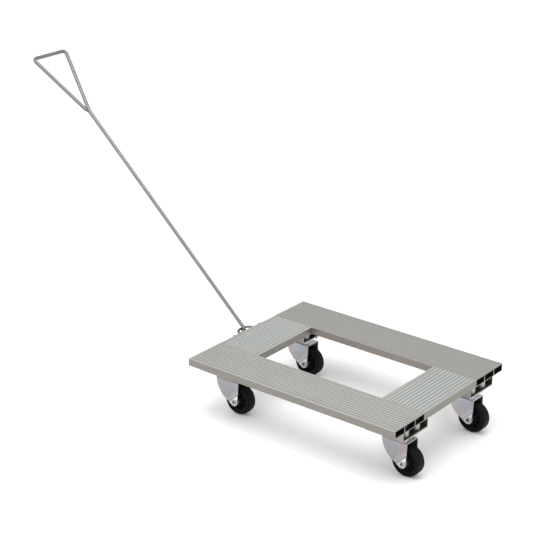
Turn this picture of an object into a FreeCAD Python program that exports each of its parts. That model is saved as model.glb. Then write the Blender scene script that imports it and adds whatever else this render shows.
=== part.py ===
import FreeCAD, Part
import math
import os

Vector = FreeCAD.Vector

# Furniture dolly: a deck of four hollow aluminium boards round a central opening, four
# swivel casters on short hollow risers, and a bent-rod pull handle hooked to a bail.
#
# Frame: millimetres, +X from the handle end of the deck to its free end, +Y from the
# front board to the rear board, +Z up. The floor is Z = 0. Everything is drawn with X = 0
# at the middle of the deck and moved at the end, so that the origin lies on the floor
# under the middle of the whole dolly, handle included.

# ---- driving dimensions -------------------------------------------------------------
DECK_LENGTH = 609.6          # 24 in
DECK_WIDTH = 457.2           # 18 in
DECK_HEIGHT = 152.4          # 6 in, floor to deck top

BOARD_WIDTH = 120.65
BOARD_THICKNESS = 19.05
OUTER_WALL = 3.5
WEB = 3.0
SIDE_CELL = 34.5
TOP_SKIN = 1.8
BOTTOM_SKIN = 1.4
GROOVES = 11
GROOVE_PITCH = 10.0
GROOVE_WIDTH = 2.6
GROOVE_DEPTH = 0.6
BOARD_CHAMFER = 0.7

SWIVEL_X = 249.4             # swivel axis from the middle of the deck
SWIVEL_Y = 140.2

RISER_LENGTH = 105.0
RISER_WIDTH = 101.6
RISER_HEIGHT = 25.4
RISER_WALL = 3.0
RISER_CORNER = 2.0

PLATE_LENGTH = 92.0
PLATE_WIDTH = 60.3
PLATE_THICKNESS = 3.0
PLATE_CORNER = 7.0
BOLT_SPACING_X = 76.2
BOLT_SPACING_Y = 44.45

WHEEL_RADIUS = 38.1          # 3 in wheel
WHEEL_WIDTH = 30.0
SHOULDER_RADIUS = 7.0
TRAIL = 35.2

LEG_GAP = 20.5               # inner face of a fork leg from the wheel's middle plane
LEG_THICKNESS = 2.5
LEG_STEP = 2.5               # the axle end of a leg stands out by this
STEP_ANGLE = 43.0            # slant of the step's line across the leg
STEP_ABOVE_AXLE = 8.8
FORK_THICKNESS = 3.0
FORK_BACK = -23.0            # the fork's rear and front edges from the swivel axis
FORK_FRONT = 45.5
FORK_BACK_DROP = 7.0         # straight run of the rear edge below the crown
FORK_TIP_RADIUS = 11.8
FORK_TIP_Z = 38.0
FORK_TIP_END = 215.0         # degrees: where the tip's arc hands over to the rear edge's curve
FORK_BELLY = (-6.5, 50.0)    # a point on the rear edge's curve
CROWN_TOP = 91.4
CROWN_BEND = 4.0

BALL_RADIUS = 2.5
BALL_CIRCLE = 17.0
BALL_COUNT = 16
UPPER_RACE_RADIUS = 22.2
LOWER_RACE_RADIUS = 20.5
SKIRT_TOP_RADIUS = 25.5
SKIRT_RADIUS = 24.0
SKIRT_ABOVE_CROWN = 3.4

BAIL_RADIUS = 3.175          # 1/4 in bar
BAIL_HALF_WIDTH = 25.0
BAIL_REACH = 22.15           # bar's centre from the deck's end
BAIL_DROP = 6.0              # bar's centre below the deck top
BAIL_BEND = 18.5

ROD_RADIUS = 4.7625          # 3/8 in rod
ROD_LENGTH = 704.0           # hook to the grip's apex
GRIP_LENGTH = 190.0          # apex to the cross bar
GRIP_WIDTH = 118.0
GRIP_END_GAP = 5.0           # the grip's cut end stops this far above the apex
HOOK_WRAP = 100.0            # degrees of bend round the bail
HOOK_TIP = 2.0               # straight end of the hook
GRIP_BEND = 9.0
APEX_BEND = 40.0
HANDLE_ANGLE = 42.3          # degrees above the horizontal, at rest

# ---- sizes that fasteners and fits need -----------------------------------------------
BOLT_RADIUS = 3.97           # 5/16 in bolts
BOLT_HOLE = 4.3
BOLT_FLATS = 12.7
BOLT_HEAD = 5.3
NUT_HEIGHT = 6.5
NUT_BORE = 4.0
WASHER_RADIUS = 8.5
WASHER_THICKNESS = 1.6
BOLT_PAST_NUT = 2.4
SMALL_BOLT_RADIUS = 3.0      # M6
SMALL_HOLE = 3.3
SMALL_FLATS = 10.0
SMALL_HEAD = 4.0
SMALL_NUT = 5.0
SMALL_PAST_NUT = 2.0
SLEEVE_RADIUS = 9.5
SLEEVE_BORE = 4.4
KINGPIN_RADIUS = 5.0
KINGPIN_HEAD_RADIUS = 10.5
KINGPIN_HEAD = 5.0
PIN_CLEARANCE = 0.06         # running fits: kingpin, wheel bush
PLATE_CLEARANCE = 0.04       # kingpin in the top plate's hole
HOOK_CLEARANCE = 0.08        # handle's hook on the bail
AXIAL_GAP = 0.3
RACE_GAP = 2.0               # between the two races
AXLE_SLEEVE_RADIUS = 6.0
AXLE_SLEEVE_END = 5.0        # turned-down ends, inside the legs
AXLE_HEAD_RADIUS = 6.0
AXLE_HEAD = 2.4
AXLE_RECESS_RADIUS = 2.6
AXLE_RECESS = 3.5
AXLE_HOLE = 4.1
BUSH_RADIUS = 8.5
HUB_RADIUS = 13.0
HUB_HALF = 16.9
BUSH_HALF = 17.2
RIM_RADIUS = 28.0
RIM_INSET = 3.5              # rim's edge from the tyre's side
RIM_LIP = 2.5
DISC_HALF = 6.0              # half thickness of the disc between hub and rim

# ---- places worked out from the dimensions --------------------------------------------
DECK_END = DECK_LENGTH / 2
DECK_SIDE = DECK_WIDTH / 2
DECK_BOTTOM = DECK_HEIGHT - BOARD_THICKNESS
CROSS_LENGTH = DECK_WIDTH - 2 * BOARD_WIDTH
LONG_Y = DECK_SIDE - BOARD_WIDTH / 2
CROSS_X = DECK_END - BOARD_WIDTH / 2
RISER_BOTTOM = DECK_BOTTOM - RISER_HEIGHT
PLATE_BOTTOM = RISER_BOTTOM - PLATE_THICKNESS
BALL_Z = (PLATE_BOTTOM + CROWN_TOP) / 2 + 0.4
LEG_OUTER = LEG_GAP + LEG_THICKNESS
PAD_INNER = LEG_GAP + LEG_STEP
PAD_OUTER = LEG_OUTER + LEG_STEP
BAIL_X = -DECK_END - BAIL_REACH
BAIL_Z = DECK_HEIGHT - BAIL_DROP
BAIL_PLATE_THICKNESS = 3.0
BAIL_PLATE_HALF = 57.0
BAIL_PLATE_Z = (DECK_HEIGHT - 16.5, DECK_HEIGHT - 1.5)
BAIL_BOLT_Y = 48.0
BAIL_BOLT_Z = DECK_HEIGHT - 7.0
HOOK_RADIUS = BAIL_RADIUS + HOOK_CLEARANCE + ROD_RADIUS
BOARD_BOLT_X = (212.0, 276.0)
BOARD_BOLT_Y = 99.5
CORNERS = {"front_left": (-1, -1), "front_right": (1, -1), "rear_left": (-1, 1), "rear_right": (1, 1)}
BOLT_OFFSETS = [(sx * BOLT_SPACING_X / 2, sy * BOLT_SPACING_Y / 2) for sx in (-1, 1) for sy in (-1, 1)]

X_AXIS = Vector(1, 0, 0)
Y_AXIS = Vector(0, 1, 0)
Z_AXIS = Vector(0, 0, 1)


# ---- small helpers --------------------------------------------------------------------
def box(x0, x1, y0, y1, z0, z1):
    return Part.makeBox(x1 - x0, y1 - y0, z1 - z0, Vector(x0, y0, z0))


def rod(start, end, radius):
    return Part.makeCylinder(radius, (end - start).Length, start, end - start)


def ring(start, end, outer, inner):
    return rod(start, end, outer).cut(rod(start, end, inner))


def polygon(points):
    return Part.Face(Part.makePolygon(points + points[:1]))


def hexagon(start, axis, across_flats, height):
    """A hexagonal prism: flats face Y on an upright axis, X on a Y axis, Z on an X axis."""
    side = Y_AXIS if abs(axis.z) > 0.5 else X_AXIS if abs(axis.y) > 0.5 else Z_AXIS
    other = axis.cross(side)
    corner = across_flats / math.sqrt(3)
    points = []
    for i in range(6):
        angle = math.radians(60 * i)
        points.append(start + other * corner * math.cos(angle) + side * corner * math.sin(angle))
    return polygon(points).extrude(axis * height)


def rounded_plate(length, width, corner, z0, z1):
    """A plate round the Z axis with rounded corners."""
    plate = box(-length / 2, length / 2, -width / 2, width / 2, z0, z1)
    upright = [e for e in plate.Edges if abs(e.Vertexes[0].Z - e.Vertexes[1].Z) > 1e-6]
    return plate.makeFillet(corner, upright)


def revolved(profile):
    """Turns a closed (radius, z) outline about the Z axis."""
    return polygon([Vector(r, 0, z) for r, z in profile]).revolve(Vector(), Z_AXIS, 360)


def bent_bar(points, bends, radius):
    """A round bar along straight runs joined by tangent arcs, one bend radius per corner."""
    pieces = []
    start = points[0]
    for i in range(1, len(points) - 1):
        before = (points[i] - points[i - 1]).normalize()
        after = (points[i + 1] - points[i]).normalize()
        turn = before.getAngle(after)
        setback = bends[i - 1] * math.tan(turn / 2)
        axis = before.cross(after).normalize()
        entry = points[i] - before * setback
        centre = entry + axis.cross(before) * bends[i - 1]
        section = Part.Face(Part.Wire(Part.makeCircle(radius, entry, before)))
        pieces.append(rod(start, entry, radius))
        pieces.append(section.revolve(centre, axis, math.degrees(turn)))
        start = points[i] + after * setback
    pieces.append(rod(start, points[-1], radius))
    return pieces[0].fuse(pieces[1:]).removeSplitter()


def group(solids):
    return Part.makeCompound(solids)


# ---- deck boards ------------------------------------------------------------------------
def board_outline():
    """The grooved outer outline of a board, across Y, its middle at Y = 0."""
    half = BOARD_WIDTH / 2
    c = BOARD_CHAMFER
    points = [(-half, DECK_BOTTOM + c), (-half + c, DECK_BOTTOM), (half - c, DECK_BOTTOM),
              (half, DECK_BOTTOM + c), (half, DECK_HEIGHT - c), (half - c, DECK_HEIGHT)]
    slope = GROOVE_DEPTH / 2
    for i in range(GROOVES):
        middle = ((GROOVES - 1) / 2 - i) * GROOVE_PITCH
        points += [(middle + GROOVE_WIDTH / 2, DECK_HEIGHT),
                   (middle + GROOVE_WIDTH / 2 - slope, DECK_HEIGHT - GROOVE_DEPTH),
                   (middle - GROOVE_WIDTH / 2 + slope, DECK_HEIGHT - GROOVE_DEPTH),
                   (middle - GROOVE_WIDTH / 2, DECK_HEIGHT)]
    points += [(-half + c, DECK_HEIGHT), (-half, DECK_HEIGHT - c)]
    return [Vector(0, y, z) for y, z in points]


def board(length):
    """A three-cell hollow board along X, centred on the deck's middle."""
    section = polygon(board_outline())
    inner = BOARD_WIDTH / 2 - OUTER_WALL
    middle = inner - SIDE_CELL - WEB
    low = DECK_BOTTOM + BOTTOM_SKIN
    high = DECK_HEIGHT - TOP_SKIN
    for y0, y1 in ((-inner, -inner + SIDE_CELL), (-middle, middle), (inner - SIDE_CELL, inner)):
        corners = [Vector(0, y0, low), Vector(0, y1, low), Vector(0, y1, high), Vector(0, y0, high)]
        section = section.cut(polygon(corners))
    solid = section.extrude(X_AXIS * length)
    solid.translate(Vector(-length / 2, 0, 0))
    return solid


def drilled(solid, places, radius, z0, z1):
    for x, y in places:
        solid = solid.cut(rod(Vector(x, y, z0), Vector(x, y, z1), radius))
    return solid


def long_board(side):
    solid = board(DECK_LENGTH)
    solid.translate(Vector(0, side * LONG_Y, 0))
    places = [p for p in caster_bolt_places() if p[1] * side > 0]
    return drilled(solid, places, BOLT_HOLE, DECK_BOTTOM - 1, DECK_BOTTOM + BOTTOM_SKIN + 1)


def cross_board(side):
    solid = board(CROSS_LENGTH)
    solid.rotate(Vector(), Z_AXIS, 90)
    solid.translate(Vector(side * CROSS_X, 0, 0))
    places = [p for p in board_bolt_places() if p[0] * side > 0]
    solid = drilled(solid, places, SMALL_HOLE, DECK_BOTTOM - 1, DECK_BOTTOM + BOTTOM_SKIN + 1)
    if side < 0:
        for y in (-BAIL_BOLT_Y, BAIL_BOLT_Y):
            start = Vector(-DECK_END - 1, y, BAIL_BOLT_Z)
            solid = solid.cut(rod(start, start + X_AXIS * (OUTER_WALL + 2), SMALL_HOLE))
    return solid


def caster_bolt_places():
    return [(sx * SWIVEL_X + dx, sy * SWIVEL_Y + dy)
            for sx, sy in CORNERS.values() for dx, dy in BOLT_OFFSETS]


def board_bolt_places():
    return [(sx * x, sy * BOARD_BOLT_Y) for sx, sy in CORNERS.values() for x in BOARD_BOLT_X]


# ---- risers and what holds them -----------------------------------------------------------
def riser(sx, sy):
    """A short open-ended box section between a deck corner and its caster."""
    half_x, half_y = RISER_LENGTH / 2, RISER_WIDTH / 2
    outer = box(-half_x, half_x, -half_y, half_y, RISER_BOTTOM, DECK_BOTTOM)
    along = [e for e in outer.Edges if abs(e.Vertexes[0].X - e.Vertexes[1].X) > 1e-6]
    outer = outer.makeFillet(RISER_CORNER, along)
    inner = box(-half_x - 1, half_x + 1, -half_y + RISER_WALL, half_y - RISER_WALL,
                RISER_BOTTOM + RISER_WALL, DECK_BOTTOM - RISER_WALL)
    solid = outer.cut(inner)
    solid.translate(Vector(sx * SWIVEL_X, sy * SWIVEL_Y, 0))
    here = [p for p in caster_bolt_places() if p[0] * sx > 0 and p[1] * sy > 0]
    solid = drilled(solid, here, BOLT_HOLE, RISER_BOTTOM - 1, DECK_BOTTOM + 1)
    here = [p for p in board_bolt_places() if p[0] * sx > 0 and p[1] * sy > 0]
    return drilled(solid, here, SMALL_HOLE, DECK_BOTTOM - RISER_WALL - 1, DECK_BOTTOM + 1)


def riser_sleeves():
    low, high = RISER_BOTTOM + RISER_WALL, DECK_BOTTOM - RISER_WALL
    return group([ring(Vector(x, y, low), Vector(x, y, high), SLEEVE_RADIUS, SLEEVE_BORE)
                  for x, y in caster_bolt_places()])


def upright_bolt(x, y, seat, end, radius, flats, head):
    """A bolt with its head on the seat level and its shank down to the end level."""
    shank = rod(Vector(x, y, end), Vector(x, y, seat), radius)
    return shank.fuse(hexagon(Vector(x, y, seat), Z_AXIS, flats, head)).removeSplitter()


def nut(start, axis, flats, height, bore):
    return hexagon(start, axis, flats, height).cut(rod(start, start + axis * height, bore))


def caster_bolts():
    seat = DECK_BOTTOM + BOTTOM_SKIN
    end = PLATE_BOTTOM - WASHER_THICKNESS - NUT_HEIGHT - BOLT_PAST_NUT
    return group([upright_bolt(x, y, seat, end, BOLT_RADIUS, BOLT_FLATS, BOLT_HEAD)
                  for x, y in caster_bolt_places()])


def caster_washers():
    return group([ring(Vector(x, y, PLATE_BOTTOM - WASHER_THICKNESS), Vector(x, y, PLATE_BOTTOM),
                       WASHER_RADIUS, BOLT_HOLE) for x, y in caster_bolt_places()])


def caster_nuts():
    low = PLATE_BOTTOM - WASHER_THICKNESS - NUT_HEIGHT
    return group([nut(Vector(x, y, low), Z_AXIS, BOLT_FLATS, NUT_HEIGHT, NUT_BORE)
                  for x, y in caster_bolt_places()])


def board_bolts():
    seat = DECK_BOTTOM + BOTTOM_SKIN
    end = DECK_BOTTOM - RISER_WALL - SMALL_NUT - SMALL_PAST_NUT
    return group([upright_bolt(x, y, seat, end, SMALL_BOLT_RADIUS, SMALL_FLATS, SMALL_HEAD)
                  for x, y in board_bolt_places()])


def board_nuts():
    low = DECK_BOTTOM - RISER_WALL - SMALL_NUT
    return group([nut(Vector(x, y, low), Z_AXIS, SMALL_FLATS, SMALL_NUT, SMALL_BOLT_RADIUS)
                  for x, y in board_bolt_places()])


# ---- caster, drawn with its swivel axis on Z ------------------------------------------------
def race_groove(clearance):
    return Part.makeTorus(BALL_CIRCLE, BALL_RADIUS + clearance, Vector(0, 0, BALL_Z), Z_AXIS)


def top_plate():
    """Mounting plate with the upper race and its dust skirt pressed downwards."""
    plate = rounded_plate(PLATE_LENGTH, PLATE_WIDTH, PLATE_CORNER, PLATE_BOTTOM, RISER_BOTTOM)
    race_low = BALL_Z + RACE_GAP / 2
    skirt_low = CROWN_TOP + SKIRT_ABOVE_CROWN
    race = revolved([(0, PLATE_BOTTOM), (0, race_low), (UPPER_RACE_RADIUS, race_low),
                     (UPPER_RACE_RADIUS, skirt_low), (SKIRT_RADIUS, skirt_low),
                     (SKIRT_TOP_RADIUS, PLATE_BOTTOM)])
    solid = plate.fuse(race).cut(race_groove(AXIAL_GAP))
    pin_hole = KINGPIN_RADIUS + PLATE_CLEARANCE
    solid = solid.cut(rod(Vector(0, 0, race_low - 1), Vector(0, 0, RISER_BOTTOM + 1), pin_hole))
    return drilled(solid, BOLT_OFFSETS, BOLT_HOLE, PLATE_BOTTOM - 1, RISER_BOTTOM + 1)


def kingpin():
    """Rivet: a domed head under the crown and a shank up to the plate's top."""
    seat = CROWN_TOP - FORK_THICKNESS - AXIAL_GAP
    low = seat - KINGPIN_HEAD
    return revolved([(0, low), (KINGPIN_HEAD_RADIUS * 0.6, low),
                     (KINGPIN_HEAD_RADIUS, low + KINGPIN_HEAD * 0.5), (KINGPIN_HEAD_RADIUS, seat),
                     (KINGPIN_RADIUS, seat), (KINGPIN_RADIUS, RISER_BOTTOM), (0, RISER_BOTTOM)])


def swivel_balls():
    balls = []
    for i in range(BALL_COUNT):
        angle = 2 * math.pi * i / BALL_COUNT
        centre = Vector(BALL_CIRCLE * math.cos(angle), BALL_CIRCLE * math.sin(angle), BALL_Z)
        balls.append(Part.makeSphere(BALL_RADIUS, centre))
    return group(balls)


def fork_side():
    """The fork's side outline in the XZ plane, as a face."""
    end_x = FORK_FRONT - FORK_TIP_RADIUS
    leave = math.radians(FORK_TIP_END)
    low = Vector(end_x, 0, FORK_TIP_Z - FORK_TIP_RADIUS)
    front = Vector(FORK_FRONT, 0, FORK_TIP_Z)
    notch = Vector(end_x + FORK_TIP_RADIUS * math.cos(leave), 0,
                   FORK_TIP_Z + FORK_TIP_RADIUS * math.sin(leave))
    back = Vector(FORK_BACK, 0, CROWN_TOP - FORK_BACK_DROP)
    back_top = Vector(FORK_BACK, 0, CROWN_TOP)
    front_top = Vector(FORK_FRONT, 0, CROWN_TOP)
    belly = Vector(FORK_BELLY[0], 0, FORK_BELLY[1])
    edges = [Part.LineSegment(back_top, front_top), Part.LineSegment(front_top, front),
             Part.Arc(front, low, notch), Part.Arc(notch, belly, back),
             Part.LineSegment(back, back_top)]
    return Part.Face(Part.Wire([e.toShape() for e in edges]))


def fork_leg():
    """One leg, on the +Y side, stepping outwards along a slanting line above the axle."""
    slant = math.radians(STEP_ANGLE)
    across = Vector(-math.sin(slant), 0, math.cos(slant))
    along = Vector(across.z, 0, -across.x)
    step = Vector(TRAIL, 0, WHEEL_RADIUS) + across * STEP_ABOVE_AXLE
    reach = CROWN_TOP            # more than enough to run past the outline on every side
    section = [(reach, LEG_GAP), (reach, LEG_OUTER), (0, LEG_OUTER), (-LEG_STEP, PAD_OUTER),
               (-reach, PAD_OUTER), (-reach, PAD_INNER), (-LEG_STEP - 1, PAD_INNER), (-1, LEG_GAP)]
    start = step - along * reach
    sheet = polygon([start + across * u + Y_AXIS * y for u, y in section]).extrude(along * 2 * reach)
    outline = fork_side()
    outline.translate(Y_AXIS * (LEG_GAP - 1))
    return sheet.common(outline.extrude(Y_AXIS * (LEG_THICKNESS + LEG_STEP + 2)))


def fork():
    """Pressed yoke: crown, lower race and two legs."""
    crown = box(FORK_BACK, FORK_FRONT, -LEG_OUTER, LEG_OUTER, CROWN_TOP - FORK_THICKNESS, CROWN_TOP)
    leg = fork_leg()
    solid = crown.fuse([leg, leg.mirror(Vector(), Y_AXIS)]).removeSplitter()
    shoulders = [e for e in solid.Edges if len(e.Vertexes) == 2
                 and abs(e.Vertexes[0].Y - e.Vertexes[1].Y) < 1e-4
                 and all(abs(v.Z - CROWN_TOP) < 1e-4 and abs(abs(v.Y) - LEG_OUTER) < 1e-4
                         for v in e.Vertexes)]
    solid = solid.makeFillet(CROWN_BEND, shoulders)
    race = rod(Vector(0, 0, CROWN_TOP - 1), Vector(0, 0, BALL_Z - RACE_GAP / 2), LOWER_RACE_RADIUS)
    solid = solid.fuse(race.cut(race_groove(0.1)))
    pin_hole = KINGPIN_RADIUS + PIN_CLEARANCE
    solid = solid.cut(rod(Vector(0, 0, CROWN_TOP - 9), Vector(0, 0, BALL_Z + 5), pin_hole))
    axle = Vector(TRAIL, 0, WHEEL_RADIUS)
    return solid.cut(rod(axle - Y_AXIS * FORK_FRONT, axle + Y_AXIS * FORK_FRONT, AXLE_HOLE))


def axle_parts():
    """Axle bolt with a hollow round head, its nut and the spacer sleeve: all turn with the fork."""
    axle = Vector(TRAIL, 0, WHEEL_RADIUS)
    head_seat = axle - Y_AXIS * PAD_OUTER
    nut_seat = axle + Y_AXIS * PAD_OUTER
    tip = nut_seat + Y_AXIS * (NUT_HEIGHT + BOLT_PAST_NUT)
    head_top = head_seat - Y_AXIS * AXLE_HEAD
    head = rod(head_top, head_seat, AXLE_HEAD_RADIUS)
    rim = [e for e in head.Edges if e.Closed and abs(e.Vertexes[0].Y - head_top.y) < 1e-6]
    bolt = rod(head_seat, tip, BOLT_RADIUS).fuse(head.makeFillet(AXLE_HEAD / 2, rim))
    bolt = bolt.cut(rod(head_top, head_top + Y_AXIS * AXLE_RECESS, AXLE_RECESS_RADIUS))
    sleeve = rod(axle - Y_AXIS * PAD_INNER, axle + Y_AXIS * PAD_INNER, AXLE_SLEEVE_END)
    sleeve = sleeve.fuse(rod(axle - Y_AXIS * BUSH_HALF, axle + Y_AXIS * BUSH_HALF, AXLE_SLEEVE_RADIUS))
    sleeve = sleeve.cut(rod(axle - Y_AXIS * FORK_FRONT, axle + Y_AXIS * FORK_FRONT, AXLE_HOLE))
    return {"axle_bolt": bolt.removeSplitter(), "axle_sleeve": sleeve.removeSplitter(),
            "axle_nut": nut(nut_seat, Y_AXIS, BOLT_FLATS, NUT_HEIGHT, NUT_BORE)}


def wheel_parts():
    """Wheel bush, core and tyre, drawn about Z and then turned on to the axle."""
    bush = [(AXLE_SLEEVE_RADIUS + PIN_CLEARANCE, -BUSH_HALF), (BUSH_RADIUS, -BUSH_HALF),
            (BUSH_RADIUS, BUSH_HALF), (AXLE_SLEEVE_RADIUS + PIN_CLEARANCE, BUSH_HALF)]
    rim_half = WHEEL_WIDTH / 2 - RIM_INSET
    side = [(BUSH_RADIUS, HUB_HALF), (HUB_RADIUS - 1, HUB_HALF), (HUB_RADIUS, HUB_HALF - 1),
            (HUB_RADIUS + 2, DISC_HALF), (RIM_RADIUS - RIM_LIP - 1.5, DISC_HALF),
            (RIM_RADIUS - RIM_LIP, rim_half), (RIM_RADIUS, rim_half)]
    core = side + [(r, -z) for r, z in reversed(side)]
    parts = {"wheel_bush": revolved(bush), "wheel_core": revolved(core), "tyre": tyre(rim_half)}
    for solid in parts.values():
        solid.rotate(Vector(), X_AXIS, 90)
        solid.translate(Vector(TRAIL, 0, WHEEL_RADIUS))
    return parts


def tyre(rim_half):
    """Solid tyre on the rim, with rounded shoulders and slightly dished sides."""
    half = WHEEL_WIDTH / 2
    shoulder_r = WHEEL_RADIUS - SHOULDER_RADIUS
    shoulder_z = half - SHOULDER_RADIUS
    diagonal = SHOULDER_RADIUS / math.sqrt(2)

    def point(r, z):
        return Vector(r, 0, z)

    edges = [Part.LineSegment(point(RIM_RADIUS, -rim_half), point(RIM_RADIUS, rim_half)),
             Part.LineSegment(point(RIM_RADIUS, rim_half), point(shoulder_r, half)),
             Part.Arc(point(shoulder_r, half), point(shoulder_r + diagonal, shoulder_z + diagonal),
                      point(WHEEL_RADIUS, shoulder_z)),
             Part.LineSegment(point(WHEEL_RADIUS, shoulder_z), point(WHEEL_RADIUS, -shoulder_z)),
             Part.Arc(point(WHEEL_RADIUS, -shoulder_z),
                      point(shoulder_r + diagonal, -shoulder_z - diagonal), point(shoulder_r, -half)),
             Part.LineSegment(point(shoulder_r, -half), point(RIM_RADIUS, -rim_half))]
    outline = Part.Face(Part.Wire([e.toShape() for e in edges]))
    return outline.revolve(Vector(), Z_AXIS, 360)


def caster():
    parts = {"top_plate": top_plate(), "kingpin": kingpin(), "swivel_balls": swivel_balls(),
             "fork": fork()}
    parts.update(axle_parts())
    parts.update(wheel_parts())
    return parts


# ---- bail and handle --------------------------------------------------------------------------
def bail_parts():
    face = -DECK_END - BAIL_PLATE_THICKNESS
    plate = box(face, -DECK_END, -BAIL_PLATE_HALF, BAIL_PLATE_HALF, *BAIL_PLATE_Z)
    bar = bent_bar([Vector(face, BAIL_HALF_WIDTH, BAIL_Z), Vector(BAIL_X, BAIL_HALF_WIDTH, BAIL_Z),
                    Vector(BAIL_X, -BAIL_HALF_WIDTH, BAIL_Z), Vector(face, -BAIL_HALF_WIDTH, BAIL_Z)],
                   [BAIL_BEND, BAIL_BEND], BAIL_RADIUS)
    bolts, nuts = [], []
    for y in (-BAIL_BOLT_Y, BAIL_BOLT_Y):
        seat = Vector(face, y, BAIL_BOLT_Z)
        plate = plate.cut(rod(seat - X_AXIS, seat + X_AXIS * 2 * BAIL_PLATE_THICKNESS, SMALL_HOLE))
        nut_seat = Vector(-DECK_END + OUTER_WALL, y, BAIL_BOLT_Z)
        end = nut_seat + X_AXIS * (SMALL_NUT + SMALL_PAST_NUT)
        head = hexagon(seat, -X_AXIS, SMALL_FLATS, SMALL_HEAD)
        bolts.append(rod(seat, end, SMALL_BOLT_RADIUS).fuse(head).removeSplitter())
        nuts.append(nut(nut_seat, X_AXIS, SMALL_FLATS, SMALL_NUT, SMALL_BOLT_RADIUS))
    return {"bail_plate": plate, "pull_bail": bar, "bail_bolts": group(bolts), "bail_nuts": group(nuts)}


def handle_axes():
    """Unit vectors of the handle at rest: along the rod, and square to it, towards the deck."""
    angle = math.radians(HANDLE_ANGLE)
    along = Vector(-math.cos(angle), 0, math.sin(angle))
    square = Vector(math.sin(angle), 0, math.cos(angle))
    return along, square


def pull_handle():
    """One bent rod: a hook round the bail, a straight shank and a closed triangular grip."""
    along, square = handle_axes()
    centre = Vector(BAIL_X, 0, BAIL_Z)
    tangent = centre + square * HOOK_RADIUS
    section = Part.Face(Part.Wire(Part.makeCircle(ROD_RADIUS, tangent, along)))
    hook = section.revolve(centre, Y_AXIS, HOOK_WRAP)
    turned = FreeCAD.Rotation(Y_AXIS, HOOK_WRAP)
    tip_start = centre + turned.multVec(square * HOOK_RADIUS)
    tip = rod(tip_start, tip_start - turned.multVec(along) * HOOK_TIP, ROD_RADIUS)
    end_edge = [e for e in tip.Edges if e.Closed
                and e.Curve.Center.distanceToPoint(tip_start) > HOOK_TIP / 2]
    tip = tip.makeChamfer(1.0, end_edge)

    def at(s, y):
        return tangent + along * s + Y_AXIS * y

    bar_s = ROD_LENGTH + GRIP_LENGTH
    half = GRIP_WIDTH / 2
    bar = bent_bar([at(0, 0), at(ROD_LENGTH, 0), at(bar_s, half), at(bar_s, -half),
                    at(ROD_LENGTH + GRIP_END_GAP, -ROD_RADIUS * 1.5)],
                   [APEX_BEND, GRIP_BEND, GRIP_BEND], ROD_RADIUS)
    return bar.fuse([hook, tip]).removeSplitter()


def handle_tip_x():
    along, square = handle_axes()
    return BAIL_X + square.x * HOOK_RADIUS + along.x * (ROD_LENGTH + GRIP_LENGTH) - ROD_RADIUS


# ---- the whole dolly ------------------------------------------------------------------------------
def build():
    parts = {"board_front": long_board(-1), "board_rear": long_board(1),
             "board_left": cross_board(-1), "board_right": cross_board(1),
             "riser_sleeves": riser_sleeves(), "caster_bolts": caster_bolts(),
             "caster_washers": caster_washers(), "caster_nuts": caster_nuts(),
             "board_bolts": board_bolts(), "board_nuts": board_nuts(),
             "pull_handle": pull_handle()}
    parts.update(bail_parts())
    pieces = caster()
    for corner, (sx, sy) in CORNERS.items():
        parts["riser_" + corner] = riser(sx, sy)
        for name, solid in pieces.items():
            placed = solid.copy()
            placed.translate(Vector(sx * SWIVEL_X, sy * SWIVEL_Y, 0))
            parts[name + "_" + corner] = placed
    return parts


def main():
    os.makedirs("parts", exist_ok=True)
    right_end = SWIVEL_X + TRAIL + WHEEL_RADIUS
    to_origin = Vector(-(handle_tip_x() + right_end) / 2, 0, 0)
    print("moved along X by %.4f" % to_origin.x)
    for name, shape in build().items():
        shape.translate(to_origin)
        shape.exportStep("parts/" + name + ".step")


main()
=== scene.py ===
import math

import bmesh
import bpy
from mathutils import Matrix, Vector


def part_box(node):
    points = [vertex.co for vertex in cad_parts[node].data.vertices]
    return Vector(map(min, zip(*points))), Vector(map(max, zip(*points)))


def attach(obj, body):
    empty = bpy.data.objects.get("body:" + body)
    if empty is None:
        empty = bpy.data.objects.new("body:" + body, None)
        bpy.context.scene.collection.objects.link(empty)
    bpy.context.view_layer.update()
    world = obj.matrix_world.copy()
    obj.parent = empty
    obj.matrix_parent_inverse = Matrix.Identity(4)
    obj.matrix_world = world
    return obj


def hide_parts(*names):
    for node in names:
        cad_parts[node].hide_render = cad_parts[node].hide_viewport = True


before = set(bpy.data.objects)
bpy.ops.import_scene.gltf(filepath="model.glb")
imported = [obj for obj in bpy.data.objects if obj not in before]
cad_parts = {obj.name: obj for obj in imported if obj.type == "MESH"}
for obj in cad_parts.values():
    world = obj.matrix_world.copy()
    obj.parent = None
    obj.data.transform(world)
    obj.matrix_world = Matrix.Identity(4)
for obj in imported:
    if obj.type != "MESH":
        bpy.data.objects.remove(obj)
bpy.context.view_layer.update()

MM = 0.001
CORNERS = ("front_left", "front_right", "rear_left", "rear_right")
Z_UP = Vector((0, 0, 1))
X_OUT = Vector((-1, 0, 0))
Y_BACK = Vector((0, 1, 0))

# ---- places worked out from the frame -------------------------------------------------------
FRONT_LOW, FRONT_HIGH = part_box("board_front")
REAR_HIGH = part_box("board_rear")[1]
DECK_MIDDLE = (FRONT_LOW + REAR_HIGH) / 2
DECK_TOP = FRONT_HIGH.z
DECK_BOTTOM = FRONT_LOW.z


def middle(node):
    low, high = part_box(node)
    return (low + high) / 2


def half_size(node):
    low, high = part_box(node)
    return (high - low) / 2


# ---- shader node helpers --------------------------------------------------------------------
BUMP_DEPTH = 0.1 * MM
FACING_LOW, FACING_HIGH = 0.55, 0.85   # how squarely a face has to look along an axis


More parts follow.
